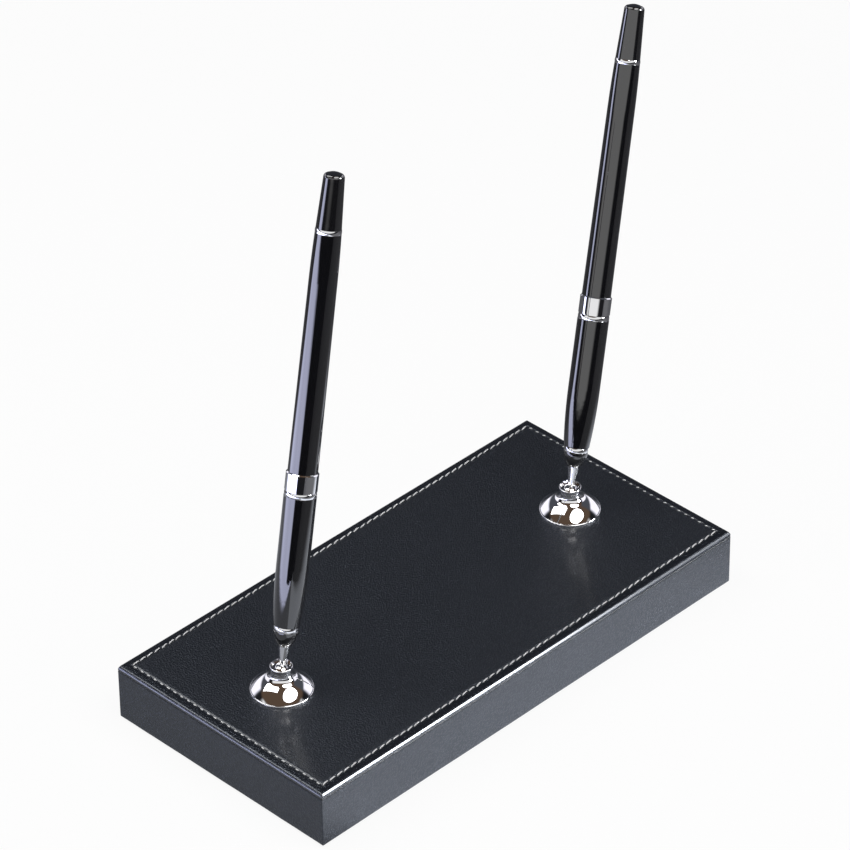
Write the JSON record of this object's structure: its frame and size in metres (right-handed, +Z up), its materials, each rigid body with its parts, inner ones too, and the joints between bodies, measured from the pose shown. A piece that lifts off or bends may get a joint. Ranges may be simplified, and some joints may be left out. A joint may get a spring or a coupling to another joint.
{
  "type": "desk pen stand",
  "caption": "Low rectangular leather covered desk stand with chrome swivel holders, each carrying a slim black pen that leans on a captive ball.",
  "frame": {"origin": "centre of the felt underside, on the surface that the stand rests on", "axes": "+X along the block's long side, +Y from the front edge to the back edge, +Z up"},
  "size_m": [0.2441, 0.1, 0.1958],
  "materials": {
    "black_leather": "satin fine-grained black leather with pale thread stitching",
    "black_felt": "matt black wool felt",
    "fibre_board": "sanded fibre board, hidden",
    "chrome": "polished bright chrome plate",
    "brass": "turned brass",
    "spring_steel": "blued spring steel",
    "zinc_steel": "zinc plated steel",
    "nylon": "natural nylon",
    "black_plastic": "polished black moulding",
    "black_lacquer": "deep gloss black lacquer on brass tube",
    "refill_metal": "satin metal ink tube"
  },
  "bodies": {
    "stand": {"base_board": "fibre_board", "top_panel": "black_leather", "underside_felt": "black_felt", "front_leather": "black_leather", "back_leather": "black_leather", "left_leather": "black_leather", "right_leather": "black_leather", "holder_cup_left": "chrome", "ball_collar_left": "chrome", "holder_plug_left": "brass", "spring_washers_left": "spring_steel", "washer_left": "zinc_steel", "nut_left": "zinc_steel", "holder_cup_right": "chrome", "ball_collar_right": "chrome", "holder_plug_right": "brass", "spring_washers_right": "spring_steel", "washer_right": "zinc_steel", "nut_right": "zinc_steel"},
    "seat_left": {"ball_seat_left": "nylon"},
    "ball_left": {"swivel_ball_left": "chrome"},
    "pen_lower_left": {"writing_tip_left": "chrome", "nose_left": "black_plastic", "nose_ring_left": "chrome", "lower_barrel_left": "black_lacquer", "thread_sleeve_left": "brass", "centre_ring_left": "chrome", "refill_left": "refill_metal"},
    "pen_upper_left": {"centre_band_left": "chrome", "barrel_insert_left": "brass", "upper_barrel_left": "black_lacquer", "end_ring_left": "chrome", "end_cap_left": "black_plastic"},
    "seat_right": {"ball_seat_right": "nylon"},
    "ball_right": {"swivel_ball_right": "chrome"},
    "pen_lower_right": {"writing_tip_right": "chrome", "nose_right": "black_plastic", "nose_ring_right": "chrome", "lower_barrel_right": "black_lacquer", "thread_sleeve_right": "brass", "centre_ring_right": "chrome", "refill_right": "refill_metal"},
    "pen_upper_right": {"centre_band_right": "chrome", "barrel_insert_right": "brass", "upper_barrel_right": "black_lacquer", "end_ring_right": "chrome", "end_cap_right": "black_plastic"}
  },
  "joints": [
    {"name": "swing_left", "type": "hinge", "parent": "stand", "child": "seat_left", "pos_m": [-0.0714, 0, 0.0304], "axis": [0, 0, 1], "continuous": true},
    {"name": "tilt_left", "type": "hinge", "parent": "seat_left", "child": "ball_left", "pos_m": [-0.0714, 0, 0.0304], "axis": [-0.4163, 0.9092, 0], "range_deg": [-48, 8]},
    {"name": "lift_left", "type": "slide", "parent": "ball_left", "child": "pen_lower_left", "axis": [0.311, 0.1424, 0.9397], "range_m": [0, 0.03]},
    {"name": "open_left", "type": "slide", "parent": "pen_lower_left", "child": "pen_upper_left", "axis": [0.311, 0.1424, 0.9397], "range_m": [0, 0.05]},
    {"name": "swing_right", "type": "hinge", "parent": "stand", "child": "seat_right", "pos_m": [0.0714, 0, 0.0304], "axis": [0, 0, 1], "continuous": true},
    {"name": "tilt_right", "type": "hinge", "parent": "seat_right", "child": "ball_right", "pos_m": [0.0714, 0, 0.0304], "axis": [-0.454, 0.891, 0], "range_deg": [-54, 2]},
    {"name": "lift_right", "type": "slide", "parent": "ball_right", "child": "pen_lower_right", "axis": [0.3906, 0.199, 0.8988], "range_m": [0, 0.03]},
    {"name": "open_right", "type": "slide", "parent": "pen_lower_right", "child": "pen_upper_right", "axis": [0.3906, 0.199, 0.8988], "range_m": [0, 0.05]}
  ]
}
